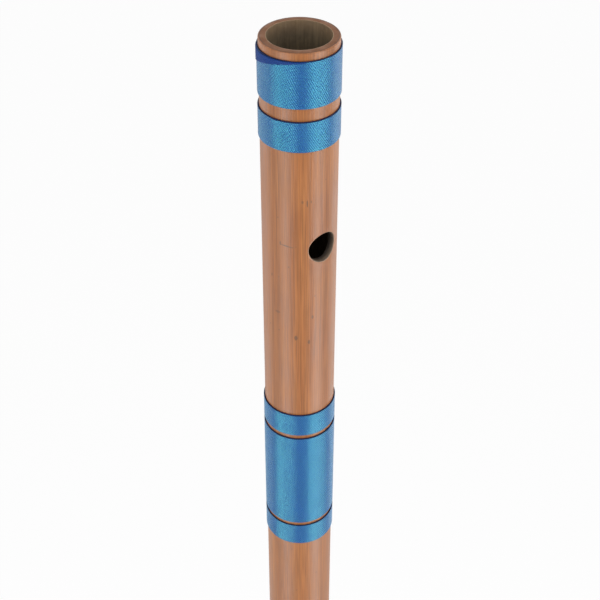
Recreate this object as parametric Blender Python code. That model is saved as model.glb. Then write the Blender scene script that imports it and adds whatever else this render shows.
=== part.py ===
"""Bansuri: a bamboo flute blown from the side and bound with silk thread, at its real size.

The flute stands upright on its foot end. The origin is the centre of the foot end, and +Z runs up the bore to the
head end. The blow hole and the finger holes lie in one line and face -Y. All sizes are in metres. A place along
the flute is a distance down from the head end, as a maker marks it on the cane, unless its name says otherwise.
"""

import math

import bmesh
import bpy
from mathutils import Matrix, Vector

# Bamboo tube: one stretch of cane between two joints
TUBE_LENGTH = 0.755
TUBE_RADIUS = 0.015
BORE_RADIUS = 0.012
OUTER_EDGE_BREAK = 0.0006
INNER_EDGE_BREAK = 0.00015
TUBE_SIDES = 96

# Blow hole
BLOW_HOLE_PLACE = 0.0848
BLOW_HOLE_DIAMETER = 0.0132

# Finger holes: how far each centre lies below the blow hole's centre, and its diameter
FINGER_HOLES = (
    (0.275, 0.0105),
    (0.315, 0.0110),
    (0.357, 0.0100),
    (0.403, 0.0105),
    (0.437, 0.0110),
    (0.489, 0.0095),
)

# Vent hole, which no finger covers
VENT_HOLE_BELOW_BLOW_HOLE = 0.572
VENT_HOLE_DIAMETER = 0.0090
HOLE_SIDES = 48

# Cork stopper in the bore, between the blow hole and the head end
STOPPER_LENGTH = 0.022
STOPPER_FACE_TO_BLOW_HOLE = 0.017
STOPPER_EDGE_BREAK = 0.0008
STOPPER_CLEARANCE = 0.0003
STOPPER_SIDES = 48

# Bindings at the head end: a bare rim, a wide band, a gap and a narrow band
HEAD_BARE_RIM = 0.0030
HEAD_WIDE_BAND = 0.0187
HEAD_BAND_GAP = 0.0054
HEAD_NARROW_BAND = 0.0126

# Bindings between the blow hole and the finger holes: a band, a gap, a wide band, a gap and a band
MIDDLE_BANDS_PLACE = 0.1706
MIDDLE_UPPER_BAND = 0.0116
MIDDLE_UPPER_GAP = 0.0022
MIDDLE_WIDE_BAND = 0.0532
MIDDLE_LOWER_GAP = 0.0020
MIDDLE_LOWER_BAND = 0.0119

# Bindings at the foot end, measured up from it
FOOT_BARE_RIM = 0.0030
FOOT_WIDE_BAND = 0.0187
FOOT_BAND_GAP = 0.0054
FOOT_NARROW_BAND = 0.0126

# Thread: each band is one unbroken winding, raised on a thin core that goes round the cane.
# The fine thread's many turns are drawn as fewer and thicker ones.
BAND_CLEARANCE = 0.0003
CORE_WALL = 0.00012
TURN_HEIGHT = 0.0003
TURN_PITCH = 0.0027
TURN_GAP = 0.00045
POINTS_PER_TURN = 24

# Finishes: red, green and blue of the base colour, then roughness
BAMBOO_FINISH = ((0.46, 0.24, 0.11), 0.38)
CORK_FINISH = ((0.52, 0.31, 0.15), 0.85)
THREAD_FINISH = ((0.01, 0.13, 0.50), 0.35)

# How far a cutter runs past what it cuts, and how near two points are when they are one
CUTTER_MARGIN = 0.005
MERGE_DISTANCE = 0.00001


def clear_scene():
    """Removes every object that the file holds."""
    for old in list(bpy.data.objects):
        bpy.data.objects.remove(old, do_unlink=True)


def make_material(name, finish):
    """A plain material with the finish's colour and roughness."""
    colour, roughness = finish
    material = bpy.data.materials.new(name)
    material.use_nodes = True
    surface = material.node_tree.nodes["Principled BSDF"]
    surface.inputs["Base Color"].default_value = (*colour, 1.0)
    surface.inputs["Roughness"].default_value = roughness
    surface.inputs["Metallic"].default_value = 0.0
    return material


def make_object(name, bm, material=None):
    """Turns a bmesh into an object with outward faces and smooth round walls."""
    bmesh.ops.recalc_face_normals(bm, faces=bm.faces)
    mesh = bpy.data.meshes.new(name)
    bm.to_mesh(mesh)
    bm.free()
    mesh.shade_smooth()
    mesh.set_sharp_from_angle(angle=math.radians(35))
    made = bpy.data.objects.new(name, mesh)
    bpy.context.collection.objects.link(made)
    if material:
        made.data.materials.append(material)
    return made


def make_cutter(name, bm):
    """An object that only cuts others and is left out of the model."""
    cutter = make_object(name, bm)
    cutter.hide_render = True
    cutter.display_type = "WIRE"
    return cutter


def cut(target, cutter):
    """Takes the cutter's volume away from the target."""
    modifier = target.modifiers.new(cutter.name, "BOOLEAN")
    modifier.operation = "DIFFERENCE"
    modifier.solver = "EXACT"
    modifier.object = cutter


def from_head(distance):
    """The height of a place that is given as a distance down from the head end."""
    return TUBE_LENGTH - distance


def turned(outline, sides):
    """A ring turned about the Z axis from a closed outline of (radius, height) points."""
    bm = bmesh.new()
    points = [bm.verts.new((radius, 0.0, height)) for radius, height in outline]
    for point, following in zip(points, points[1:] + points[:1]):
        bm.edges.new((point, following))
    bmesh.ops.spin(
        bm,
        geom=bm.verts[:] + bm.edges[:],
        cent=(0.0, 0.0, 0.0),
        axis=(0.0, 0.0, 1.0),
        angle=2 * math.pi,
        steps=sides,
        use_merge=True,
    )
    return bm


def make_tube(material):
    """The cane, with broken edges at both ends, before its holes are cut."""
    outline = (
        (BORE_RADIUS, INNER_EDGE_BREAK),
        (BORE_RADIUS + INNER_EDGE_BREAK, 0.0),
        (TUBE_RADIUS - OUTER_EDGE_BREAK, 0.0),
        (TUBE_RADIUS, OUTER_EDGE_BREAK),
        (TUBE_RADIUS, TUBE_LENGTH - OUTER_EDGE_BREAK),
        (TUBE_RADIUS - OUTER_EDGE_BREAK, TUBE_LENGTH),
        (BORE_RADIUS + INNER_EDGE_BREAK, TUBE_LENGTH),
        (BORE_RADIUS, TUBE_LENGTH - INNER_EDGE_BREAK),
    )
    return make_object("bamboo_tube", turned(outline, TUBE_SIDES), material)


def hole_list():
    """Each hole in the cane's front as its centre's height and its diameter."""
    holes = [(BLOW_HOLE_PLACE, BLOW_HOLE_DIAMETER)]
    for below_blow_hole, diameter in FINGER_HOLES:
        holes.append((BLOW_HOLE_PLACE + below_blow_hole, diameter))
    holes.append((BLOW_HOLE_PLACE + VENT_HOLE_BELOW_BLOW_HOLE, VENT_HOLE_DIAMETER))
    return [(from_head(place), diameter) for place, diameter in holes]


def make_hole_cutter():
    """One round bar for each hole, from the middle of the bore out through the front wall."""
    bm = bmesh.new()
    bar_length = TUBE_RADIUS + CUTTER_MARGIN
    for height, diameter in hole_list():
        middle = Vector((0.0, -bar_length / 2, height))
        bmesh.ops.create_cone(
            bm,
            cap_ends=True,
            segments=HOLE_SIDES,
            radius1=diameter / 2,
            radius2=diameter / 2,
            depth=bar_length,
            matrix=Matrix.Translation(middle) @ Matrix.Rotation(math.radians(90), 4, "X"),
        )
    return make_cutter("hole_cutter", bm)


def make_stopper(material):
    """The cork that closes the bore above the blow hole, and slides in it to set the tuning."""
    radius = BORE_RADIUS - STOPPER_CLEARANCE
    face = from_head(BLOW_HOLE_PLACE - STOPPER_FACE_TO_BLOW_HOLE)
    bm = bmesh.new()
    bmesh.ops.create_cone(
        bm,
        cap_ends=True,
        segments=STOPPER_SIDES,
        radius1=radius,
        radius2=radius,
        depth=STOPPER_LENGTH,
    )
    rims = [edge for edge in bm.edges if abs(edge.verts[0].co.z - edge.verts[1].co.z) < MERGE_DISTANCE]
    bmesh.ops.bevel(
        bm,
        geom=rims,
        offset=STOPPER_EDGE_BREAK,
        segments=1,
        profile=0.5,
        affect="EDGES",
        material=-1,
    )
    stopper = make_object("stopper_cork", bm, material)
    stopper.location = (0.0, 0.0, face + STOPPER_LENGTH / 2)
    return stopper


def corner_radius(flat_radius):
    """The corner radius of a turn's polygon whose flats lie at the given radius."""
    return flat_radius / math.cos(math.pi / POINTS_PER_TURN)


def band_radii():
    """Corner radii of a band's bore, of its core and of the crest of its turns."""
    bore = TUBE_RADIUS + BAND_CLEARANCE
    core = bore + CORE_WALL
    return corner_radius(bore), corner_radius(core), corner_radius(core + TURN_HEIGHT)


def make_band_bore_cutter():
    """A bar along the whole flute, a clearance wider than the cane, that bores every band."""
    bore, _, _ = band_radii()
    bm = bmesh.new()
    bmesh.ops.create_cone(
        bm,
        cap_ends=True,
        segments=POINTS_PER_TURN,
        radius1=bore,
        radius2=bore,
        depth=TUBE_LENGTH + 2 * CUTTER_MARGIN,
        matrix=Matrix.Translation((0.0, 0.0, TUBE_LENGTH / 2)),
    )
    return make_cutter("band_bore_cutter", bm)


def winding_steps(width):
    """How many steps the helix takes, with a spare turn past each end of the band."""
    turns = math.ceil(width / TURN_PITCH) + 2
    return turns * POINTS_PER_TURN


def least_gap(width):
    """The least distance between one turn and the next, measured on points half way up their flanks."""
    _, core, crest = band_radii()
    radius = (core + crest) / 2
    lower_flank = []
    upper_flank = []
    for step in range(winding_steps(width)):
        angle = 2 * math.pi * step / POINTS_PER_TURN
        rise = TURN_PITCH * step / POINTS_PER_TURN
        across = (radius * math.cos(angle), radius * math.sin(angle))
        lower_flank.append(Vector((*across, rise + TURN_GAP / 2)))
        upper_flank.append(Vector((*across, rise + TURN_PITCH - TURN_GAP / 2)))
    nearest = TURN_PITCH
    for step, point in enumerate(upper_flank):
        first = max(0, step + POINTS_PER_TURN // 2)
        for other in lower_flank[first : step + 2 * POINTS_PER_TURN]:
            nearest = min(nearest, (point - other).length)
    return nearest


def make_band(name, top, width, material, bore_cutter):
    """One binding: an unbroken winding from end to end, cut square where it starts and stops."""
    _, core, crest = band_radii()
    steps = winding_steps(width)
    start = top - width - TURN_PITCH
    outline = (
        (core, start),
        (crest, start + TURN_GAP),
        (crest, start + TURN_PITCH - TURN_GAP),
        (core, start + TURN_PITCH),
    )
    bm = bmesh.new()
    points = [bm.verts.new((radius, 0.0, height)) for radius, height in outline]
    for point, following in zip(points, points[1:]):
        bm.edges.new((point, following))
    bmesh.ops.spin(
        bm,
        geom=bm.verts[:] + bm.edges[:],
        cent=(0.0, 0.0, 0.0),
        axis=(0.0, 0.0, 1.0),
        dvec=(0.0, 0.0, TURN_PITCH / POINTS_PER_TURN),
        angle=2 * math.pi * steps / POINTS_PER_TURN,
        steps=steps,
        use_merge=False,
    )
    bmesh.ops.remove_doubles(bm, verts=bm.verts[:], dist=MERGE_DISTANCE)
    for height, outward in ((top, 1.0), (top - width, -1.0)):
        bmesh.ops.bisect_plane(
            bm,
            geom=bm.verts[:] + bm.edges[:] + bm.faces[:],
            dist=MERGE_DISTANCE,
            plane_co=(0.0, 0.0, height),
            plane_no=(0.0, 0.0, outward),
            clear_outer=True,
        )
    bmesh.ops.holes_fill(bm, edges=[edge for edge in bm.edges if edge.is_boundary])
    band = make_object(name, bm, material)
    cut(band, bore_cutter)
    print(f"{name}: {width / TURN_PITCH:.1f} turns, least gap {least_gap(width) * 1000:.2f} mm")
    return band


def band_list():
    """Each binding's name, the height of its top edge and its width, from the head end to the foot end."""
    head_narrow = HEAD_BARE_RIM + HEAD_WIDE_BAND + HEAD_BAND_GAP
    middle_wide = MIDDLE_BANDS_PLACE + MIDDLE_UPPER_BAND + MIDDLE_UPPER_GAP
    middle_lower = middle_wide + MIDDLE_WIDE_BAND + MIDDLE_LOWER_GAP
    foot_wide_top = FOOT_BARE_RIM + FOOT_WIDE_BAND
    foot_narrow_top = foot_wide_top + FOOT_BAND_GAP + FOOT_NARROW_BAND
    return (
        ("head_wide_binding", from_head(HEAD_BARE_RIM), HEAD_WIDE_BAND),
        ("head_narrow_binding", from_head(head_narrow), HEAD_NARROW_BAND),
        ("middle_upper_binding", from_head(MIDDLE_BANDS_PLACE), MIDDLE_UPPER_BAND),
        ("middle_wide_binding", from_head(middle_wide), MIDDLE_WIDE_BAND),
        ("middle_lower_binding", from_head(middle_lower), MIDDLE_LOWER_BAND),
        ("foot_narrow_binding", foot_narrow_top, FOOT_NARROW_BAND),
        ("foot_wide_binding", foot_wide_top, FOOT_WIDE_BAND),
    )


def main():
    """Builds the flute."""
    clear_scene()
    bamboo = make_material("bamboo", BAMBOO_FINISH)
    cork = make_material("cork", CORK_FINISH)
    thread = make_material("thread", THREAD_FINISH)
    cut(make_tube(bamboo), make_hole_cutter())
    make_stopper(cork)
    bore_cutter = make_band_bore_cutter()
    for name, top, width in band_list():
        make_band(name, top, width, thread, bore_cutter)


main()
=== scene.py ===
"""Dresses the bansuri: its cane, its cork stopper and its silk bindings, with a plain studio round them.

All sizes are in metres unless a name says millimetres. The flute stands on its foot end with +Z up the bore,
and its holes face -Y. An azimuth on the cane is measured from the line of holes, and grows towards +X.
"""

import math

import bmesh
import bpy
from mathutils import Matrix, Vector


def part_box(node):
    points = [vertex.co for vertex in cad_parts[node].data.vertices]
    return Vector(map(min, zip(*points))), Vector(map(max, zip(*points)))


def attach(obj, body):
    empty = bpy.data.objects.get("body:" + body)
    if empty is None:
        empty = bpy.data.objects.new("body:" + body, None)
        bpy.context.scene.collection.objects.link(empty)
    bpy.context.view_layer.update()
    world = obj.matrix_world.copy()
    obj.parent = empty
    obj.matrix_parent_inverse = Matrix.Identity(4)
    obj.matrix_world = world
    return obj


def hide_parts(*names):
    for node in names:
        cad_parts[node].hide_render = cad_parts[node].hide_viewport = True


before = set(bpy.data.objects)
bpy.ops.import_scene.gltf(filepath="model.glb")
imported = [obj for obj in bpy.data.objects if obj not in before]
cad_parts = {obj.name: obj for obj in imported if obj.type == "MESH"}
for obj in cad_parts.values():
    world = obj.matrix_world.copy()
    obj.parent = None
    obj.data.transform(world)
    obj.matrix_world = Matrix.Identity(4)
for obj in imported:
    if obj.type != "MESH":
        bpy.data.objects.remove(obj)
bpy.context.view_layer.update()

bl_info = {
    "name": "Bansuri",
    "version": (1, 0, 0),
    "blender": (4, 5, 0),
    "location": "View3D > Sidebar > Bansuri",
    "description": "Makes a bamboo flute with silk bindings, and a studio for it",
    "category": "Add Mesh",
}

# Sizes that the frame gives
CANE_LOW, CANE_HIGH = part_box("bamboo_tube")
CANE_RADIUS = (CANE_HIGH.x - CANE_LOW.x) / 2
CANE_LENGTH = CANE_HIGH.z - CANE_LOW.z
STOPPER_LOW, STOPPER_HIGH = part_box("stopper_cork")
STOPPER_RADIUS = (STOPPER_HIGH.x - STOPPER_LOW.x) / 2
BORE_CLEARANCE = 0.0003
BORE_RADIUS = STOPPER_RADIUS + BORE_CLEARANCE

# Holes in the cane's front: how far each centre is from the head end, and its diameter
BLOW_HOLE = (0.0848, 0.0128)
FINGER_HOLES = (
    (0.3598, 0.0101),
    (0.3998, 0.0106),
    (0.4418, 0.0096),
    (0.4878, 0.0101),
    (0.5218, 0.0106),
    (0.5738, 0.0091),
)
VENT_HOLE = (0.6568, 0.0086)
BLOW_HOLE_ROUNDING = 0.0005
FINGER_HOLE_ROUNDING = 0.0006

# The bars that cut the holes: how far in and how far out of the cane's skin they reach
HOLE_BAR_DEPTH = 0.010
HOLE_BAR_RISE = 0.003

# Rounding of the cane's ends, outside and inside
SKIN_END_ROUNDING = 0.0006
BORE_END_ROUNDING = 0.00015

# Which faces of the cane get which finish: how near a face lies to the bore or to an end, how squarely an
# end's face looks along the cane, and how squarely a face of the skin looks away from the axis
BORE_FACE_REACH = 0.0001
END_FACE_REACH = 0.001
END_FACE_SQUARENESS = 0.97
SKIN_FACE_SQUARENESS = 0.9
SKIN, SAWN_END, BORE, HOLE_WALL = range(4)

# Thread: the gap between a binding's inside and the cane, and how much of its top edge is painted dark as
# shade
THREAD_SEAT_GAP = 0.00002
PAINTED_SHADE_EDGE_WIDTH = 0.0003
PAINTED_SHADE_EDGE, SLACK = 1, 2

# Mesh steps
CANE_SIDES = 128
CANE_STEP = 0.005
HOLE_SIDES = 64
ROUNDING_STEPS = 4
TURN_SIDES = 96
THREAD_SECTION_STEPS = 6
MERGE_DISTANCE = 0.000002

# The photograph's camera: its frame in pixels, where the cane's axis crosses it and its focal length in
# pixels, its turn and its pitch, and its place in cane radii
PHOTO_SIZE = 600
PHOTO_AXIS_X = 299.4
PHOTO_FOCAL = 1269.0
CAMERA_AZIMUTH = math.radians(-39.8)
CAMERA_PITCH = math.radians(37.7)
CAMERA_DISTANCE = 27.74 * CANE_RADIUS
CAMERA_ABOVE_HEAD = 13.46 * CANE_RADIUS
SENSOR_WIDTH_MM = 36.0

# Softboxes: tall boxes that face the flute. Each one's angle is measured from the camera's side of the flute.
SOFTBOX_HEIGHT = 1.3
SOFTBOX_MIDDLE = 0.68
FRONT_SOFTBOX_DISTANCE = 0.34
FRONT_SOFTBOX_WIDTH = 0.14
LEFT_SOFTBOX_TURN = math.radians(-42.0)
RIGHT_SOFTBOX_TURN = math.radians(56.0)
BACK_SOFTBOX_DISTANCE = 0.6
BACK_SOFTBOX_WIDTH = 0.2
BACK_LEFT_SOFTBOX_TURN = math.radians(-112.0)
BACK_RIGHT_SOFTBOX_TURN = math.radians(124.0)

# Floor: half its width, and how much of it is plain white to the camera
FLOOR_REACH = 12.0
FLOOR_WHITE = 0.97

# Bindings: each piece's name and the CAD node that it stands for
BINDINGS = (
    ("head_wide_thread", "head_wide_binding"),
    ("head_narrow_thread", "head_narrow_binding"),
    ("middle_upper_thread", "middle_upper_binding"),
    ("middle_wide_thread", "middle_wide_binding"),
    ("middle_lower_thread", "middle_lower_binding"),
    ("foot_narrow_thread", "foot_narrow_binding"),
    ("foot_wide_thread", "foot_wide_binding"),
)

# Slack turns at the top of the head's wide band: how many there are, and how far the lowest has slipped. The
# angles from the camera's side are where they leave the band's edge at the back, hang lowest and come back.
SLACK_TURNS = 10
SLACK_THREAD_RADIUS = 0.00024
SLACK_DEPTH = 0.0064
SLACK_BACK_END = math.radians(-200.0)
SLACK_LOWEST = math.radians(-95.0)
SLACK_HEAD_END = math.radians(8.0)
SLACK_CURVE = 1.5

# Marks in the cane's skin: where each lies in the photograph in pixels across and down, its half width and
# half length in millimetres, its tilt from the grain in degrees, and how dark it is
CANE_MARKS = {
    "long_scratch": (286.5, 246.2, 0.34, 3.0, 98.0, 0.85),
    "scratch_end": (280.3, 243.0, 0.40, 1.2, 0.0, 0.65),
    "upper_left_fleck": (302.5, 202.5, 0.50, 0.9, 0.0, 0.55),
    "upper_middle_fleck": (307.3, 203.8, 0.32, 2.0, 0.0, 0.80),
    "upper_right_fleck": (311.3, 202.0, 0.32, 0.8, 0.0, 0.60),
    "right_spot": (312.5, 317.0, 0.50, 1.2, 0.0, 0.65),
    "left_spot": (272.0, 274.0, 0.40, 1.2, 10.0, 0.45),
    "left_smudge": (278.0, 311.5, 1.40, 0.7, 0.0, 0.45),
    "left_eye": (296.0, 338.0, 0.80, 1.5, 0.0, 0.75),
    "right_eye": (309.0, 342.0, 0.60, 1.3, 0.0, 0.75),
    "first_low_dot": (292.0, 549.0, 0.35, 0.5, 0.0, 0.60),
    "second_low_dot": (316.0, 572.0, 0.35, 0.5, 0.0, 0.55),
    "third_low_dot": (296.5, 590.0, 0.35, 0.5, 0.0, 0.50),
}


class BansuriCane(bpy.types.PropertyGroup):
    """The cane's look."""

    light_colour: bpy.props.FloatVectorProperty(
        name="Light grain",
        description="Colour of the paler streaks of the cane",
        subtype="COLOR",
        size=3,
        min=0.0,
        max=1.0,
        default=(0.315, 0.120, 0.032),
    )
    dark_colour: bpy.props.FloatVectorProperty(
        name="Dark grain",
        description="Colour of the darker streaks of the cane",
        subtype="COLOR",
        size=3,
        min=0.0,
        max=1.0,
        default=(0.215, 0.067, 0.015),
    )
    roughness: bpy.props.FloatProperty(
        name="Roughness",
        description="How dull the rubbed and oiled skin is",
        subtype="FACTOR",
        min=0.0,
        max=1.0,
        default=0.40,
    )


class BansuriThread(bpy.types.PropertyGroup):
    """The thread's sizes and colour."""

    pitch: bpy.props.FloatProperty(
        name="Turn pitch",
        description="Distance from one turn of thread to the next",
        subtype="DISTANCE",
        unit="LENGTH",
        precision=5,
        min=0.0003,
        max=0.003,
        default=0.00055,
    )
    thickness: bpy.props.FloatProperty(
        name="Binding thickness",
        description="How far a binding stands out from the cane",
        subtype="DISTANCE",
        unit="LENGTH",
        precision=5,
        min=0.0003,
        max=0.0009,
        default=0.0006,
    )
    relief: bpy.props.FloatProperty(
        name="Turn relief",
        description="How far a turn stands out from the groove beside it",
        subtype="DISTANCE",
        unit="LENGTH",
        precision=5,
        min=0.00005,
        max=0.0003,
        default=0.00012,
    )
    twist: bpy.props.FloatProperty(
        name="Twist length",
        description="Length along the thread over which one strand crosses it",
        subtype="DISTANCE",
        unit="LENGTH",
        precision=5,
        min=0.0003,
        max=0.004,
        default=0.0008,
    )
    # Painted light and shade: colour is the silk painted lit on strands and crests, shade_colour the painted
    # shade in the grooves between them
    colour: bpy.props.FloatVectorProperty(
        name="Silk",
        description="Colour of the silk where the light falls on it",
        subtype="COLOR",
        size=3,
        min=0.0,
        max=1.0,
        default=(0.009, 0.034, 0.29),
    )
    shade_colour: bpy.props.FloatVectorProperty(
        name="Silk in the grooves",
        description="Colour of the silk between two strands",
        subtype="COLOR",
        size=3,
        min=0.0,
        max=1.0,
        default=(0.003, 0.008, 0.075),
    )


class BansuriCork(bpy.types.PropertyGroup):
    """The stopper's look."""

    colour: bpy.props.FloatVectorProperty(
        name="Cork",
        description="Colour of the cork's grains",
        subtype="COLOR",
        size=3,
        min=0.0,
        max=1.0,
        default=(0.52, 0.31, 0.15),
    )
    edge: bpy.props.FloatProperty(
        name="Edge",
        description="Width of the stopper's rounded edges",
        subtype="DISTANCE",
        unit="LENGTH",
        precision=5,
        min=0.0001,
        max=0.002,
        default=0.0008,
    )


class BansuriStage(bpy.types.PropertyGroup):
    """The studio's light."""

    left_power: bpy.props.FloatProperty(
        name="Left softbox",
        description="Power of the tall softbox at the left of the flute",
        subtype="POWER",
        min=0.0,
        max=20.0,
        default=2.9,
    )
    right_power: bpy.props.FloatProperty(
        name="Right softbox",
        description="Power of the tall softbox at the right of the flute",
        subtype="POWER",
        min=0.0,
        max=20.0,
        default=3.3,
    )
    back_power: bpy.props.FloatProperty(
        name="Back softbox",
        description="Power of each softbox behind the flute",
        subtype="POWER",
        min=0.0,
        max=20.0,
        default=1.5,
    )
    ambient: bpy.props.FloatProperty(
        name="Ambient",
        description="Strength of the even light from all round",
        subtype="FACTOR",
        min=0.0,
        max=1.0,
        default=0.15,
    )


class Tree:
    """Adds nodes to a node tree and joins them."""

    def __init__(self, tree):
        self.tree = tree

    def node(self, kind, **settings):
        """A new node with its settings."""
        made = self.tree.nodes.new(kind)
        for name, value in settings.items():
            setattr(made, name, value)
        return made

    def feed(self, socket, value):
        """Gives a socket a value, or joins it to another node's output."""
        if isinstance(value, bpy.types.NodeSocket):
            self.tree.links.new(value, socket)
        elif value is not None:
            socket.default_value = value

    def math(self, operation, first, second=None, third=None, clamp=False):
        """The output of a Math node."""
        made = self.node("ShaderNodeMath", operation=operation, use_clamp=clamp)
        for socket, value in zip(made.inputs, (first, second, third)):
            self.feed(socket, value)
        return made.outputs[0]

    def noise(self, vector, scale, detail=2.0, roughness=0.5):
        """The value of a noise texture."""
        made = self.node("ShaderNodeTexNoise")
        values = {"Vector": vector, "Scale": scale, "Detail": detail, "Roughness": roughness}
        for name, value in values.items():
            self.feed(made.inputs[name], value)
        return made.outputs[0]

    def scaled(self, vector, scale):
        """A vector stretched along its axes."""
        made = self.node("ShaderNodeMapping")
        self.feed(made.inputs["Vector"], vector)
        self.feed(made.inputs["Scale"], scale)
        return made.outputs[0]

    def fit(self, value, low, high, new_low=0.0, new_high=1.0):
        """A value carried from one range to another and held inside it."""
        made = self.node("ShaderNodeMapRange", clamp=True)
        for name, given in (
            ("Value", value),
            ("From Min", low),
            ("From Max", high),
            ("To Min", new_low),
            ("To Max", new_high),
        ):
            self.feed(made.inputs[name], given)
        return made.outputs[0]

    def mix(self, factor, first, second, blend="MIX"):
        """Two colours mixed."""
        made = self.node("ShaderNodeMix", data_type="RGBA", blend_type=blend)
        self.feed(made.inputs[0], factor)
        self.feed(made.inputs[6], first)
        self.feed(made.inputs[7], second)
        return made.outputs[2]

    def group(self, tree, **values):
        """A group node with its inputs."""
        made = self.node("ShaderNodeGroup", node_tree=tree)
        for name, value in values.items():
            self.feed(made.inputs[name.replace("_", " ")], value)
        return made

    def object_place(self):
        """Object coordinates as a vector and as x, y and z."""
        vector = self.node("ShaderNodeTexCoord").outputs["Object"]
        parts = self.node("ShaderNodeSeparateXYZ")
        self.feed(parts.inputs[0], vector)
        return vector, parts.outputs[0], parts.outputs[1], parts.outputs[2]


def rgba(colour):
    """A colour with full alpha."""
    return (*colour, 1.0)


def new_group(name, inputs, outputs):
    """A shader node group with named inputs and outputs, and the Tree that fills it."""
    tree = bpy.data.node_groups.new(name, "ShaderNodeTree")
    for label, kind, default in inputs:
        socket = tree.interface.new_socket(name=label, in_out="INPUT", socket_type=kind)
        socket.default_value = default
    for label, kind in outputs:
        tree.interface.new_socket(name=label, in_out="OUTPUT", socket_type=kind)
    source = tree.nodes.new("NodeGroupInput")
    result = tree.nodes.new("NodeGroupOutput")
    return tree, Tree(tree), source.outputs, result.inputs


def grain_group():
    """Fibres that run up the cane: a streak mask of a given width and length."""
    found = bpy.data.node_groups.get("cane_grain")
    if found:
        return found
    inputs = (
        ("Width mm", "NodeSocketFloat", 0.3),
        ("Length mm", "NodeSocketFloat", 12.0),
        ("Softness", "NodeSocketFloat", 0.12),
    )
    tree, make, given, result = new_group("cane_grain", inputs, (("Streaks", "NodeSocketFloat"),))
    vector, _, _, _ = make.object_place()
    across = make.math("DIVIDE", 1000.0, given["Width mm"])
    along = make.math("DIVIDE", 1000.0, given["Length mm"])
    stretch = make.node("ShaderNodeCombineXYZ")
    make.feed(stretch.inputs[0], across)
    make.feed(stretch.inputs[1], across)
    make.feed(stretch.inputs[2], along)
    value = make.noise(make.scaled(vector, stretch.outputs[0]), 1.0, 3.0, 0.55)
    low = make.math("SUBTRACT", 0.5, given["Softness"])
    high = make.math("ADD", 0.5, given["Softness"])
    make.feed(result[0], make.fit(value, low, high))
    return tree


def speck_group():
    """Small scattered specks, more or less drawn out along the cane."""
    found = bpy.data.node_groups.get("specks")
    if found:
        return found
    inputs = (
        ("Spacing mm", "NodeSocketFloat", 2.0),
        ("Size", "NodeSocketFloat", 0.12),
        ("Drawn out", "NodeSocketFloat", 2.0),
    )
    tree, make, given, result = new_group("specks", inputs, (("Specks", "NodeSocketFloat"),))
    vector, _, _, _ = make.object_place()
    across = make.math("DIVIDE", 1000.0, given["Spacing mm"])
    stretch = make.node("ShaderNodeCombineXYZ")
    make.feed(stretch.inputs[0], across)
    make.feed(stretch.inputs[1], across)
    make.feed(stretch.inputs[2], make.math("DIVIDE", across, given["Drawn out"]))
    cells = make.node("ShaderNodeTexVoronoi")
    make.feed(cells.inputs["Vector"], make.scaled(vector, stretch.outputs[0]))
    make.feed(cells.inputs["Scale"], 1.0)
    edge = make.math("MULTIPLY", given["Size"], 0.4)
    make.feed(result[0], make.fit(cells.outputs["Distance"], edge, given["Size"], 1.0, 0.0))
    return tree


def mark_group():
    """One mark in the cane's skin: an oval of given place, half width, half length and tilt."""
    found = bpy.data.node_groups.get("cane_mark")
    if found:
        return found
    inputs = (
        ("Azimuth", "NodeSocketFloat", 0.0),
        ("Height", "NodeSocketFloat", 0.0),
        ("Half width mm", "NodeSocketFloat", 0.4),
        ("Half length mm", "NodeSocketFloat", 1.5),
        ("Tilt", "NodeSocketFloat", 0.0),
    )
    tree, make, given, result = new_group("cane_mark", inputs, (("Mark", "NodeSocketFloat"),))
    vector, x, y, z = make.object_place()
    ragged = make.noise(vector, 900.0, 3.0, 0.6)
    azimuth = make.math("ARCTAN2", x, make.math("MULTIPLY", y, -1.0))
    turn = make.math("SUBTRACT", azimuth, given["Azimuth"])
    across = make.math("MULTIPLY", turn, CANE_RADIUS * 1000.0)
    along = make.math("MULTIPLY", make.math("SUBTRACT", z, given["Height"]), 1000.0)
    cosine = make.math("COSINE", given["Tilt"])
    sine = make.math("SINE", given["Tilt"])
    side = make.math("SUBTRACT", make.math("MULTIPLY", across, cosine), make.math("MULTIPLY", along, sine))
    length = make.math("ADD", make.math("MULTIPLY", across, sine), make.math("MULTIPLY", along, cosine))
    side = make.math("DIVIDE", side, given["Half width mm"])
    length = make.math("DIVIDE", length, given["Half length mm"])
    reach = make.math("ADD", make.math("MULTIPLY", side, side), make.math("MULTIPLY", length, length))
    reach = make.math("ADD", reach, make.math("MULTIPLY", make.math("SUBTRACT", ragged, 0.5), 1.6))
    make.feed(result[0], make.fit(reach, 0.35, 1.0, 1.0, 0.0))
    return tree


def new_material(name):
    """An empty material: its Tree, its Principled BSDF and itself."""
    material = bpy.data.materials.new(name)
    material.use_nodes = True
    make = Tree(material.node_tree)
    surface = material.node_tree.nodes["Principled BSDF"]
    return material, make, surface


def add_bump(make, surface, height, depth):
    """Raises the surface by a height mask, to a depth in metres."""
    bump = make.node("ShaderNodeBump")
    bump.inputs["Strength"].default_value = 1.0
    bump.inputs["Distance"].default_value = depth
    make.feed(bump.inputs["Height"], height)
    make.feed(surface.inputs["Normal"], bump.outputs[0])


def place_on_cane(pixel_x, pixel_y):
    """The azimuth and the height of the point of the cane's skin that a pixel of the photograph shows."""
    down = (pixel_y - PHOTO_SIZE / 2) / PHOTO_FOCAL
    sine, cosine = math.sin(CAMERA_PITCH), math.cos(CAMERA_PITCH)
    turn = 0.0
    for _ in range(8):
        forward = CAMERA_DISTANCE - CANE_RADIUS * math.cos(turn)
        below = forward * (sine + down * cosine) / (cosine - down * sine)
        depth = forward * cosine + below * sine
        turn = math.asin((pixel_x - PHOTO_AXIS_X) * depth / (PHOTO_FOCAL * CANE_RADIUS))
    return CAMERA_AZIMUTH + turn, CANE_LENGTH + CAMERA_ABOVE_HEAD - below


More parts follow.
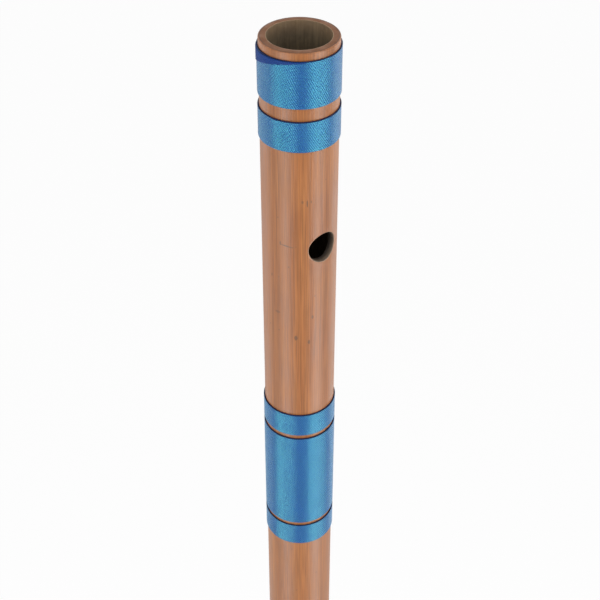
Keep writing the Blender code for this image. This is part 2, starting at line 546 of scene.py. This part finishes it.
def skin_material(settings):
    """The cane's rubbed and oiled skin, with its grain, specks and marks."""
    material, make, surface = new_material("cane_skin")
    grain = grain_group()
    fine = make.group(grain, Width_mm=0.42, Length_mm=24.0, Softness=0.14).outputs[0]
    medium = make.group(grain, Width_mm=0.9, Length_mm=60.0, Softness=0.16).outputs[0]
    broad = make.group(grain, Width_mm=4.0, Length_mm=160.0, Softness=0.2).outputs[0]
    vector, _, _, _ = make.object_place()
    cloud = make.fit(make.noise(vector, 45.0, 3.0, 0.6), 0.35, 0.65)
    streaks = make.math("MULTIPLY_ADD", medium, 0.35, make.math("MULTIPLY", broad, 0.4))
    streaks = make.math("MULTIPLY_ADD", cloud, 0.25, streaks)
    colour = make.mix(streaks, rgba(settings.dark_colour), rgba(settings.light_colour))
    fibre = make.fit(fine, 0.0, 1.0, 0.74, 1.14)
    fibre_colour = make.node("ShaderNodeCombineColor")
    for socket in fibre_colour.inputs[:3]:
        make.feed(socket, fibre)
    colour = make.mix(1.0, colour, fibre_colour.outputs[0], "MULTIPLY")
    specks = make.group(speck_group(), Spacing_mm=5.5, Size=0.055, Drawn_out=1.8).outputs[0]
    dots = make.group(speck_group(), Spacing_mm=1.7, Size=0.07, Drawn_out=3.5).outputs[0]
    patchy = make.fit(make.noise(vector, 70.0, 1.0), 0.52, 0.62)
    dots = make.math("MULTIPLY", dots, patchy)
    dark = make.math("MAXIMUM", make.math("MULTIPLY", specks, 0.7), make.math("MULTIPLY", dots, 0.35))
    for pixel_x, pixel_y, width, length, tilt, strength in CANE_MARKS.values():
        azimuth, height = place_on_cane(pixel_x, pixel_y)
        mark = make.group(
            mark_group(),
            Azimuth=azimuth,
            Height=height,
            Half_width_mm=width,
            Half_length_mm=length,
            Tilt=math.radians(tilt),
        ).outputs[0]
        dark = make.math("MAXIMUM", dark, make.math("MULTIPLY", mark, strength))
    colour = make.mix(dark, colour, (0.07, 0.035, 0.018, 1.0))
    make.feed(surface.inputs["Base Color"], colour)
    rough = make.math("MULTIPLY_ADD", fine, 0.08, settings.roughness - 0.04)
    make.feed(surface.inputs["Roughness"], make.math("MULTIPLY_ADD", cloud, 0.06, rough))
    relief = make.math("SUBTRACT", make.math("MULTIPLY_ADD", medium, 0.6, fine), dark)
    add_bump(make, surface, relief, 0.000018)
    return material


def end_material(settings):
    """The sawn ends of the cane: pores and fibres seen end on, darker to the skin."""
    material, make, surface = new_material("cane_end")
    vector, x, y, _ = make.object_place()
    radius = make.math("SQRT", make.math("ADD", make.math("MULTIPLY", x, x), make.math("MULTIPLY", y, y)))
    outward = make.fit(radius, BORE_RADIUS, CANE_RADIUS)
    pores = make.group(speck_group(), Spacing_mm=0.55, Size=0.32, Drawn_out=1.0).outputs[0]
    cloud = make.fit(make.noise(vector, 260.0, 3.0, 0.6), 0.35, 0.65)
    pale = tuple(0.78 * value for value in settings.light_colour)
    deep = tuple(0.62 * value for value in settings.dark_colour)
    colour = make.mix(make.math("MULTIPLY_ADD", cloud, 0.5, 0.25), rgba(pale), rgba(deep))
    colour = make.mix(make.math("MULTIPLY", pores, 0.45), colour, (0.10, 0.05, 0.025, 1.0))
    rind = make.fit(outward, 0.66, 0.80)
    colour = make.mix(make.math("MULTIPLY", rind, 0.6), colour, (0.07, 0.03, 0.02, 1.0))
    inner = make.fit(outward, 0.0, 0.14, 1.0, 0.0)
    colour = make.mix(make.math("MULTIPLY", inner, 0.5), colour, (0.55, 0.44, 0.27, 1.0))
    make.feed(surface.inputs["Base Color"], colour)
    make.feed(surface.inputs["Roughness"], make.fit(cloud, 0.0, 1.0, 0.42, 0.60))
    add_bump(make, surface, make.math("SUBTRACT", cloud, pores), 0.00003)
    return material


def bore_material():
    """The cane's raw bore: olive brown, with long fibres and darker stains, and painted lighter near the head
    end's mouth.
    """
    material, make, surface = new_material("cane_bore")
    grain = grain_group()
    fine = make.group(grain, Width_mm=0.45, Length_mm=18.0, Softness=0.14).outputs[0]
    broad = make.group(grain, Width_mm=2.2, Length_mm=22.0, Softness=0.14).outputs[0]
    vector, _, _, z = make.object_place()
    stain = make.fit(make.noise(vector, 120.0, 3.0, 0.6), 0.40, 0.66)
    colour = make.mix(fine, (0.10, 0.074, 0.042, 1.0), (0.185, 0.135, 0.078, 1.0))
    colour = make.mix(make.math("MULTIPLY", broad, 0.45), colour, (0.085, 0.062, 0.038, 1.0))
    colour = make.mix(make.math("MULTIPLY", stain, 0.55), colour, (0.045, 0.035, 0.024, 1.0))
    # Painted light: the bore is painted paler in its last 6 mm towards the open head end
    depth = make.fit(z, CANE_LENGTH - 0.006, CANE_LENGTH)
    colour = make.mix(make.math("MULTIPLY", depth, 0.45), colour, (0.26, 0.155, 0.075, 1.0))
    make.feed(surface.inputs["Base Color"], colour)
    make.feed(surface.inputs["Roughness"], make.fit(fine, 0.0, 1.0, 0.50, 0.68))
    add_bump(make, surface, make.math("SUBTRACT", fine, stain), 0.00006)
    return material


def hole_wall_material():
    """The wall of a hole: burnt and scraped cane, paler at the skin and darker to the bore."""
    material, make, surface = new_material("hole_wall")
    vector, x, y, _ = make.object_place()
    radius = make.math("SQRT", make.math("ADD", make.math("MULTIPLY", x, x), make.math("MULTIPLY", y, y)))
    outward = make.fit(radius, BORE_RADIUS, CANE_RADIUS)
    grain = make.group(grain_group(), Width_mm=0.35, Length_mm=3.0, Softness=0.15).outputs[0]
    char = make.fit(make.noise(vector, 420.0, 3.0, 0.6), 0.38, 0.66)
    colour = make.mix(grain, (0.020, 0.015, 0.012, 1.0), (0.050, 0.036, 0.026, 1.0))
    scraped = make.math("MULTIPLY", make.fit(outward, 0.25, 0.80), make.fit(char, 0.0, 1.0, 1.0, 0.5))
    colour = make.mix(scraped, colour, (0.15, 0.105, 0.070, 1.0))
    colour = make.mix(make.fit(outward, 0.94, 1.0), colour, (0.40, 0.25, 0.15, 1.0))
    make.feed(surface.inputs["Base Color"], colour)
    make.feed(surface.inputs["Roughness"], make.fit(char, 0.0, 1.0, 0.45, 0.7))
    add_bump(make, surface, make.math("SUBTRACT", grain, char), 0.00005)
    return material


def strand_group():
    """The thread's twisted strands: how far up on a strand a point is, and how far up on the thread."""
    found = bpy.data.node_groups.get("thread_strands")
    if found:
        return found
    inputs = (
        ("Pitch mm", "NodeSocketFloat", 0.55),
        ("Twist mm", "NodeSocketFloat", 0.8),
    )
    outputs = (("Strand", "NodeSocketFloat"), ("Crest", "NodeSocketFloat"))
    tree, make, given, result = new_group("thread_strands", inputs, outputs)
    vector, x, y, z = make.object_place()
    turn = make.math("DIVIDE", make.math("ARCTAN2", y, x), 2 * math.pi)
    rise = make.math("DIVIDE", make.math("MULTIPLY", z, 1000.0), given["Pitch mm"])
    climb = make.math("SUBTRACT", rise, turn)
    across = make.math("FRACT", climb)
    crest = make.math("SINE", make.math("MULTIPLY", across, math.pi))
    drift = make.math("MULTIPLY", make.noise(vector, 60.0, 1.0), 3.0)
    round_length = 2 * math.pi * CANE_RADIUS * 1000.0
    along = make.math("DIVIDE", make.math("MULTIPLY", turn, round_length), given["Twist mm"])
    whole = make.math("MULTIPLY", make.math("FLOOR", climb), 0.37)
    phase = make.math("ADD", make.math("ADD", along, across), make.math("ADD", whole, drift))
    wave = make.math("SINE", make.math("MULTIPLY", phase, 2 * math.pi))
    make.feed(result[0], make.math("MULTIPLY_ADD", wave, 0.5, 0.5))
    make.feed(result[1], crest)
    return tree


def thread_material(settings):
    """Blue silk thread with a twist and a strong sheen across its turns, with painted light on its strands
    and crests and painted shade in its grooves.
    """
    material, make, surface = new_material("silk_thread")
    strands = make.group(strand_group(), Pitch_mm=settings.pitch * 1000.0, Twist_mm=settings.twist * 1000.0)
    strand, crest = strands.outputs[0], strands.outputs[1]
    vector, _, _, _ = make.object_place()
    cloud = make.fit(make.noise(vector, 110.0, 2.0, 0.5), 0.35, 0.65)
    # Painted light and shade: each strand and each turn's crest take the lit silk colour, the grooves between
    # them the shaded one
    lit = make.math("MULTIPLY_ADD", strand, 0.70, make.math("MULTIPLY", crest, 0.30))
    colour = make.mix(lit, rgba(settings.shade_colour), rgba(settings.colour))
    worn = tuple(0.80 * value for value in settings.colour)
    colour = make.mix(make.math("MULTIPLY", cloud, 0.4), colour, rgba(worn))
    make.feed(surface.inputs["Base Color"], colour)
    make.feed(surface.inputs["Roughness"], make.fit(strand, 0.0, 1.0, 0.30, 0.20))
    surface.inputs["IOR"].default_value = 1.8
    surface.inputs["Specular IOR Level"].default_value = 0.7
    surface.inputs["Specular Tint"].default_value = (0.20, 1.0, 0.95, 1.0)
    add_bump(make, surface, strand, 0.00006)
    return material


def dull_thread_material(name, settings, dark, light):
    """Thread without its sheen, for the painted shade on the bands' top edges and for the slack turns."""
    material, make, surface = new_material(name)
    strands = make.group(strand_group(), Pitch_mm=settings.pitch * 1000.0, Twist_mm=settings.twist * 1000.0)
    # Painted light and shade: the strands are painted from the dark colour to the light one
    colour = make.mix(strands.outputs[0], rgba(dark), rgba(light))
    make.feed(surface.inputs["Base Color"], colour)
    make.feed(surface.inputs["Roughness"], make.fit(strands.outputs[0], 0.0, 1.0, 0.6, 0.45))
    surface.inputs["Specular IOR Level"].default_value = 0.12
    add_bump(make, surface, strands.outputs[0], 0.00004)
    return material


def cork_material(settings):
    """Cork: pale and dark grains with small pits."""
    material, make, surface = new_material("cork")
    vector, _, _, _ = make.object_place()
    cells = make.node("ShaderNodeTexVoronoi")
    make.feed(cells.inputs["Vector"], vector)
    make.feed(cells.inputs["Scale"], 520.0)
    shade = make.node("ShaderNodeSeparateColor")
    make.feed(shade.inputs[0], cells.outputs["Color"])
    dark = tuple(0.62 * value for value in settings.colour)
    colour = make.mix(make.math("MULTIPLY", shade.outputs[0], 0.7), rgba(settings.colour), rgba(dark))
    pits = make.group(speck_group(), Spacing_mm=2.4, Size=0.22, Drawn_out=0.6).outputs[0]
    colour = make.mix(make.math("MULTIPLY", pits, 0.75), colour, (0.10, 0.045, 0.02, 1.0))
    make.feed(surface.inputs["Base Color"], colour)
    make.feed(surface.inputs["Roughness"], make.fit(shade.outputs[0], 0.0, 1.0, 0.75, 0.92))
    add_bump(make, surface, make.math("SUBTRACT", cells.outputs["Distance"], pits), 0.0002)
    return material


def finish_object(name, bm, materials, sharp_angle):
    """Turns a bmesh into an object with outward faces and smooth walls."""
    bmesh.ops.recalc_face_normals(bm, faces=bm.faces)
    mesh = bpy.data.meshes.new(name)
    bm.to_mesh(mesh)
    bm.free()
    for material in materials:
        mesh.materials.append(material)
    mesh.shade_smooth()
    mesh.set_sharp_from_angle(angle=math.radians(sharp_angle))
    made = bpy.data.objects.new(name, mesh)
    bpy.context.scene.collection.objects.link(made)
    return made


def stand_for(piece, node, body):
    """Makes a piece ride on its body and stand for its CAD node, which it hides."""
    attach(piece, body)
    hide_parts(node)


def spun(points, steps, angle, rise=0.0, closed=False):
    """A bmesh swept about the Z axis from a line of (radius, height) points."""
    bm = bmesh.new()
    line = [bm.verts.new((radius, 0.0, height)) for radius, height in points]
    pairs = list(zip(line, line[1:]))
    if closed:
        pairs.append((line[-1], line[0]))
    for first, second in pairs:
        bm.edges.new((first, second))
    bmesh.ops.spin(
        bm,
        geom=bm.verts[:] + bm.edges[:],
        cent=(0.0, 0.0, 0.0),
        axis=(0.0, 0.0, 1.0),
        dvec=(0.0, 0.0, rise / steps),
        angle=angle,
        steps=steps,
        use_merge=closed and rise == 0.0,
    )
    return bm


def rounded_corner(radius, height, size, outward, upward):
    """Points round a corner of the cane's section, from its side to its end face."""
    points = []
    for step in range(ROUNDING_STEPS + 1):
        angle = math.pi / 2 * step / ROUNDING_STEPS
        side = radius - outward * size * (1 - math.cos(angle))
        points.append((side, height - upward * size * (1 - math.sin(angle))))
    return points


def cane_outline():
    """The cane's wall in section, round from the bore's foot and up the skin."""
    rings = round(CANE_LENGTH / CANE_STEP)
    heights = [CANE_LENGTH * ring / rings for ring in range(1, rings)]
    foot_skin = rounded_corner(CANE_RADIUS, 0.0, SKIN_END_ROUNDING, 1, -1)
    head_skin = rounded_corner(CANE_RADIUS, CANE_LENGTH, SKIN_END_ROUNDING, 1, 1)
    head_bore = rounded_corner(BORE_RADIUS, CANE_LENGTH, BORE_END_ROUNDING, -1, 1)
    foot_bore = rounded_corner(BORE_RADIUS, 0.0, BORE_END_ROUNDING, -1, -1)
    outline = foot_bore + foot_skin[::-1]
    outline += [(CANE_RADIUS, height) for height in heights]
    outline += head_skin + head_bore[::-1]
    outline += [(BORE_RADIUS, height) for height in heights[::-3]]
    return outline


def hole_cutter(holes):
    """Bars that cut the holes, flared so that each edge is rounded alike all round the cane's curve."""
    whole = bmesh.new()
    for place, diameter, rounding in holes:
        radius = diameter / 2
        outline = [(0.0, -HOLE_BAR_DEPTH), (radius, -HOLE_BAR_DEPTH)]
        for step in range(ROUNDING_STEPS + 1):
            angle = math.pi / 2 * step / ROUNDING_STEPS
            out = radius + rounding * (1 - math.cos(angle))
            outline.append((out, rounding * (math.sin(angle) - 1)))
        outline += [(radius + rounding, HOLE_BAR_RISE), (0.0, HOLE_BAR_RISE)]
        bar = spun(outline, HOLE_SIDES, 2 * math.pi)
        bmesh.ops.remove_doubles(bar, verts=bar.verts[:], dist=MERGE_DISTANCE)
        for vert in bar.verts:
            x, z, out = vert.co.x, vert.co.y, vert.co.z
            surface = math.sqrt(CANE_RADIUS**2 - x**2)
            vert.co = Vector((x, -surface - out, CANE_LENGTH - place + z))
        bmesh.ops.recalc_face_normals(bar, faces=bar.faces)
        part = bpy.data.meshes.new("hole_bar")
        bar.to_mesh(part)
        bar.free()
        whole.from_mesh(part)
        bpy.data.meshes.remove(part)
    return finish_object("hole_bars", whole, (), 40.0)


def apply_modifiers(piece):
    """Gives a piece the mesh that its modifiers make."""
    depsgraph = bpy.context.evaluated_depsgraph_get()
    mesh = bpy.data.meshes.new_from_object(piece.evaluated_get(depsgraph))
    old = piece.data
    piece.modifiers.clear()
    piece.data = mesh
    bpy.data.meshes.remove(old)


def sort_cane_faces(mesh, holes):
    """Gives each face of the cane its finish."""
    for face in mesh.polygons:
        centre = face.center
        radius = math.hypot(centre.x, centre.y)
        outward = Vector((centre.x, centre.y, 0.0)).normalized()
        face.material_index = SKIN
        if radius < BORE_RADIUS + BORE_FACE_REACH and face.normal.dot(outward) < 0:
            face.material_index = BORE
        at_end = centre.z < END_FACE_REACH or centre.z > CANE_LENGTH - END_FACE_REACH
        if at_end and abs(face.normal.z) > END_FACE_SQUARENESS:
            face.material_index = SAWN_END
        for place, diameter, rounding in holes:
            reach = math.hypot(centre.x, centre.z - CANE_LENGTH + place)
            in_hole = centre.y < 0 and reach < diameter / 2 + rounding
            if in_hole and radius > BORE_RADIUS and face.normal.dot(outward) < SKIN_FACE_SQUARENESS:
                face.material_index = HOLE_WALL


class BANSURI_OT_cane(bpy.types.Operator):
    """Make the cane with its bore, its blow hole, its finger holes and its vent hole"""

    bl_idname = "bansuri.cane"
    bl_label = "Cane"

    def execute(self, context):
        settings = context.scene.bansuri_cane
        holes = [(*BLOW_HOLE, BLOW_HOLE_ROUNDING)]
        holes += [(*hole, FINGER_HOLE_ROUNDING) for hole in (*FINGER_HOLES, VENT_HOLE)]
        finishes = (
            skin_material(settings),
            end_material(settings),
            bore_material(),
            hole_wall_material(),
        )
        bm = spun(cane_outline(), CANE_SIDES, 2 * math.pi, closed=True)
        cane = finish_object("cane", bm, finishes, 40.0)
        cutter = hole_cutter(holes)
        modifier = cane.modifiers.new("holes", "BOOLEAN")
        modifier.operation = "DIFFERENCE"
        modifier.solver = "EXACT"
        modifier.object = cutter
        apply_modifiers(cane)
        bpy.data.objects.remove(cutter, do_unlink=True)
        sort_cane_faces(cane.data, holes)
        cane.data.set_sharp_from_angle(angle=math.radians(40.0))
        stand_for(cane, "bamboo_tube", "flute")
        return {"FINISHED"}


class BANSURI_OT_stopper(bpy.types.Operator):
    """Make the cork stopper that slides in the bore"""

    bl_idname = "bansuri.stopper"
    bl_label = "Stopper"

    def execute(self, context):
        settings = context.scene.bansuri_cork
        bm = bmesh.new()
        bmesh.ops.create_cone(
            bm,
            cap_ends=True,
            segments=TURN_SIDES,
            radius1=STOPPER_RADIUS,
            radius2=STOPPER_RADIUS,
            depth=STOPPER_HIGH.z - STOPPER_LOW.z,
            matrix=Matrix.Translation((0.0, 0.0, (STOPPER_HIGH.z + STOPPER_LOW.z) / 2)),
        )
        rims = [edge for edge in bm.edges if edge.verts[0].co.z == edge.verts[1].co.z]
        bmesh.ops.bevel(
            bm,
            geom=rims,
            offset=settings.edge,
            segments=4,
            profile=0.5,
            affect="EDGES",
            material=-1,
        )
        stopper = finish_object("stopper", bm, (cork_material(settings),), 50.0)
        stand_for(stopper, "stopper_cork", "stopper")
        return {"FINISHED"}


def thread_section(settings, start):
    """One turn of thread in section, from the groove below it to the groove above."""
    groove = CANE_RADIUS + settings.thickness - settings.relief
    points = []
    for step in range(THREAD_SECTION_STEPS + 1):
        angle = math.pi * step / THREAD_SECTION_STEPS
        height = start + settings.pitch * (1 - math.cos(angle)) / 2
        points.append((groove + settings.relief * math.sin(angle), height))
    return points


def wound_band(settings, low, high):
    """A band of close turns between two heights, cut square and closed round the cane."""
    pitch = settings.pitch
    start = (math.floor(low / pitch) - 2) * pitch
    bm = spun(thread_section(settings, start), TURN_SIDES, 2 * math.pi, rise=pitch)
    turns = 1
    while start + (turns - 1) * pitch < high + pitch:
        copied = bmesh.ops.duplicate(bm, geom=bm.verts[:] + bm.edges[:] + bm.faces[:])
        moved = [part for part in copied["geom"] if isinstance(part, bmesh.types.BMVert)]
        bmesh.ops.translate(bm, verts=moved, vec=(0.0, 0.0, turns * pitch))
        turns *= 2
    bmesh.ops.remove_doubles(bm, verts=bm.verts[:], dist=MERGE_DISTANCE)
    for height, outward in ((high, 1.0), (low, -1.0)):
        bmesh.ops.bisect_plane(
            bm,
            geom=bm.verts[:] + bm.edges[:] + bm.faces[:],
            dist=MERGE_DISTANCE,
            plane_co=(0.0, 0.0, height),
            plane_no=(0.0, 0.0, outward),
            clear_outer=True,
        )
    seat = CANE_RADIUS + THREAD_SEAT_GAP
    open_edges = [edge for edge in bm.edges if edge.is_boundary]
    grown = bmesh.ops.extrude_edge_only(bm, edges=open_edges)
    inner_verts = [part for part in grown["geom"] if isinstance(part, bmesh.types.BMVert)]
    for vert in inner_verts:
        side = Vector((vert.co.x, vert.co.y, 0.0)).normalized() * seat
        vert.co = Vector((side.x, side.y, vert.co.z))
    bmesh.ops.bridge_loops(bm, edges=[edge for edge in bm.edges if edge.is_boundary])
    return bm


def slack_drop(turn):
    """How far the slack turns have slipped at an angle from the camera's side, as a share of the most."""
    if turn > SLACK_LOWEST:
        share = (SLACK_HEAD_END - turn) / (SLACK_HEAD_END - SLACK_LOWEST)
    else:
        share = (turn - SLACK_BACK_END) / (SLACK_LOWEST - SLACK_BACK_END)
    return max(share, 0.0) ** SLACK_CURVE


def add_slack_turns(bm, settings, high):
    """The slack turns at the top of the head's wide band, which have slipped down on one side."""
    steps = 84
    sides = 8
    seat = CANE_RADIUS + settings.thickness + SLACK_THREAD_RADIUS * 0.2
    for strand in range(SLACK_TURNS):
        share = (strand + 1) / SLACK_TURNS
        first = CAMERA_AZIMUTH + SLACK_BACK_END - math.pi / 2
        ring = []
        for side in range(sides):
            angle = 2 * math.pi * side / sides
            across = seat + SLACK_THREAD_RADIUS * math.cos(angle)
            point = Vector((across, 0.0, high - SLACK_THREAD_RADIUS * (1.2 - math.sin(angle))))
            ring.append(bm.verts.new(Matrix.Rotation(first, 3, "Z") @ point))
        edges = [bm.edges.new((vert, following)) for vert, following in zip(ring, ring[1:] + ring[:1])]
        before = set(bm.faces)
        bm.faces.new(ring)
        swept = bmesh.ops.spin(
            bm,
            geom=ring + edges,
            cent=(0.0, 0.0, 0.0),
            axis=(0.0, 0.0, 1.0),
            angle=SLACK_HEAD_END - SLACK_BACK_END,
            steps=steps,
            use_merge=False,
        )
        end_edges = [part for part in swept["geom_last"] if isinstance(part, bmesh.types.BMEdge)]
        bmesh.ops.holes_fill(bm, edges=end_edges)
        added = [face for face in bm.faces if face not in before]
        for vert in {vert for face in added for vert in face.verts}:
            turn = math.atan2(vert.co.x, -vert.co.y) - CAMERA_AZIMUTH
            if turn > SLACK_HEAD_END + 0.01:
                turn -= 2 * math.pi
            vert.co.z -= SLACK_DEPTH * share * slack_drop(turn)
        for face in added:
            face.material_index = SLACK


class BANSURI_OT_bindings(bpy.types.Operator):
    """Wind the silk bindings round the cane"""

    bl_idname = "bansuri.bindings"
    bl_label = "Bindings"

    def execute(self, context):
        settings = context.scene.bansuri_thread
        finishes = (
            thread_material(settings),
            # The top edges' dark finish is painted shade along each band's top edge
            dull_thread_material("thread_painted_shade_edge", settings, (0.004, 0.010, 0.035), (0.006, 0.02, 0.08)),
            dull_thread_material("thread_slack", settings, (0.005, 0.022, 0.11), (0.008, 0.050, 0.22)),
        )
        for name, node in BINDINGS:
            low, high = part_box(node)
            bm = wound_band(settings, low.z, high.z)
            # Painted shade: faces along each band's top edge take the dark thread finish
            for face in bm.faces:
                if face.calc_center_median().z > high.z - PAINTED_SHADE_EDGE_WIDTH:
                    face.material_index = PAINTED_SHADE_EDGE
            if node == "head_wide_binding":
                add_slack_turns(bm, settings, high.z)
            band = finish_object(name, bm, finishes, 60.0)
            stand_for(band, node, "flute")
        return {"FINISHED"}


def white_mask(make, share):
    """A share of white for what the camera, a gloss or a glass sees directly."""
    path = make.node("ShaderNodeLightPath")
    seen = make.math("MAXIMUM", path.outputs["Is Camera Ray"], path.outputs["Is Glossy Ray"])
    seen = make.math("MAXIMUM", seen, path.outputs["Is Transmission Ray"])
    return make.math("MULTIPLY", seen, share)


def floor_material():
    """A white floor that still shows the flute's shadow."""
    material = bpy.data.materials.new("studio_floor")
    material.use_nodes = True
    make = Tree(material.node_tree)
    material.node_tree.nodes.remove(material.node_tree.nodes["Principled BSDF"])
    cloth = make.node("ShaderNodeBsdfDiffuse")
    cloth.inputs["Color"].default_value = (0.86, 0.86, 0.86, 1.0)
    glow = make.node("ShaderNodeEmission")
    glow.inputs["Color"].default_value = (1.0, 1.0, 1.0, 1.0)
    mixed = make.node("ShaderNodeMixShader")
    make.feed(mixed.inputs[0], white_mask(make, FLOOR_WHITE))
    make.feed(mixed.inputs[1], cloth.outputs[0])
    make.feed(mixed.inputs[2], glow.outputs[0])
    output = material.node_tree.nodes["Material Output"]
    make.feed(output.inputs["Surface"], mixed.outputs[0])
    return material


def make_floor():
    """The floor, wide enough to fill every view."""
    bm = bmesh.new()
    bmesh.ops.create_grid(bm, x_segments=1, y_segments=1, size=FLOOR_REACH)
    floor = finish_object("studio_floor", bm, (floor_material(),), 30.0)


def make_world(ambient):
    """An even pale room, white where it is seen."""
    world = bpy.data.worlds.new("studio")
    bpy.context.scene.world = world
    world.use_nodes = True
    make = Tree(world.node_tree)
    background = world.node_tree.nodes["Background"]
    background.inputs["Color"].default_value = (1.0, 1.0, 1.0, 1.0)
    strength = make.fit(white_mask(make, 1.0), 0.0, 1.0, ambient, 1.0)
    make.feed(background.inputs["Strength"], strength)


def make_softbox(name, turn, distance, width, power):
    """A tall softbox that faces the flute, at an angle from the camera's side of it."""
    lamp = bpy.data.lights.new(name, "AREA")
    lamp.shape = "RECTANGLE"
    lamp.size = width
    lamp.size_y = SOFTBOX_HEIGHT
    lamp.energy = power
    azimuth = CAMERA_AZIMUTH + turn
    made = bpy.data.objects.new(name, lamp)
    made.location = (distance * math.sin(azimuth), -distance * math.cos(azimuth), SOFTBOX_MIDDLE)
    made.rotation_euler = (math.radians(90.0), 0.0, azimuth)
    made.visible_camera = False
    bpy.context.scene.collection.objects.link(made)


def make_camera():
    """The photograph's camera."""
    data = bpy.data.cameras.new("photo_camera")
    data.sensor_width = SENSOR_WIDTH_MM
    data.lens = PHOTO_FOCAL / PHOTO_SIZE * SENSOR_WIDTH_MM
    data.shift_x = (PHOTO_SIZE / 2 - PHOTO_AXIS_X) / PHOTO_SIZE
    data.clip_start = 0.01
    data.clip_end = 50.0
    camera = bpy.data.objects.new("photo_camera", data)
    camera.location = (
        CAMERA_DISTANCE * math.sin(CAMERA_AZIMUTH),
        -CAMERA_DISTANCE * math.cos(CAMERA_AZIMUTH),
        CANE_LENGTH + CAMERA_ABOVE_HEAD,
    )
    camera.rotation_euler = (math.pi / 2 - CAMERA_PITCH, 0.0, CAMERA_AZIMUTH)
    bpy.context.scene.collection.objects.link(camera)
    bpy.context.scene.camera = camera


class BANSURI_OT_stage(bpy.types.Operator):
    """Set up the floor, the lights and the camera"""

    bl_idname = "bansuri.stage"
    bl_label = "Stage"

    def execute(self, context):
        settings = context.scene.bansuri_stage
        context.scene.view_settings.view_transform = "Standard"
        make_floor()
        make_world(settings.ambient)
        front = (FRONT_SOFTBOX_DISTANCE, FRONT_SOFTBOX_WIDTH)
        back = (BACK_SOFTBOX_DISTANCE, BACK_SOFTBOX_WIDTH)
        make_softbox("left_softbox", LEFT_SOFTBOX_TURN, *front, settings.left_power)
        make_softbox("right_softbox", RIGHT_SOFTBOX_TURN, *front, settings.right_power)
        make_softbox("back_left_softbox", BACK_LEFT_SOFTBOX_TURN, *back, settings.back_power)
        make_softbox("back_right_softbox", BACK_RIGHT_SOFTBOX_TURN, *back, settings.back_power)
        make_camera()
        return {"FINISHED"}


class BANSURI_PT_panel(bpy.types.Panel):
    """Lists the flute's pieces and their sizes"""

    bl_label = "Bansuri"
    bl_idname = "BANSURI_PT_panel"
    bl_space_type = "VIEW_3D"
    bl_region_type = "UI"
    bl_category = "Bansuri"

    def draw(self, context):
        scene = context.scene
        for settings, operator, names in (
            (scene.bansuri_cane, "bansuri.cane", ("light_colour", "dark_colour", "roughness")),
            (scene.bansuri_cork, "bansuri.stopper", ("colour", "edge")),
            (
                scene.bansuri_thread,
                "bansuri.bindings",
                ("pitch", "thickness", "relief", "twist", "colour", "shade_colour"),
            ),
            (scene.bansuri_stage, "bansuri.stage", ("left_power", "right_power", "back_power", "ambient")),
        ):
            box = self.layout.box()
            for name in names:
                box.prop(settings, name)
            box.operator(operator)


CLASSES = (
    BansuriCane,
    BansuriThread,
    BansuriCork,
    BansuriStage,
    BANSURI_OT_cane,
    BANSURI_OT_stopper,
    BANSURI_OT_bindings,
    BANSURI_OT_stage,
    BANSURI_PT_panel,
)


def register():
    """Adds the classes and the settings to Blender."""
    for made in CLASSES:
        bpy.utils.register_class(made)
    bpy.types.Scene.bansuri_cane = bpy.props.PointerProperty(type=BansuriCane)
    bpy.types.Scene.bansuri_thread = bpy.props.PointerProperty(type=BansuriThread)
    bpy.types.Scene.bansuri_cork = bpy.props.PointerProperty(type=BansuriCork)
    bpy.types.Scene.bansuri_stage = bpy.props.PointerProperty(type=BansuriStage)


def unregister():
    """Takes the settings and the classes out of Blender."""
    del bpy.types.Scene.bansuri_stage
    del bpy.types.Scene.bansuri_cork
    del bpy.types.Scene.bansuri_thread
    del bpy.types.Scene.bansuri_cane
    for made in reversed(CLASSES):
        bpy.utils.unregister_class(made)


def main():
    """Makes every piece and the stage."""
    register()
    bpy.ops.bansuri.cane()
    bpy.ops.bansuri.stopper()
    bpy.ops.bansuri.bindings()
    bpy.ops.bansuri.stage()


if __name__ == "__main__":
    main()
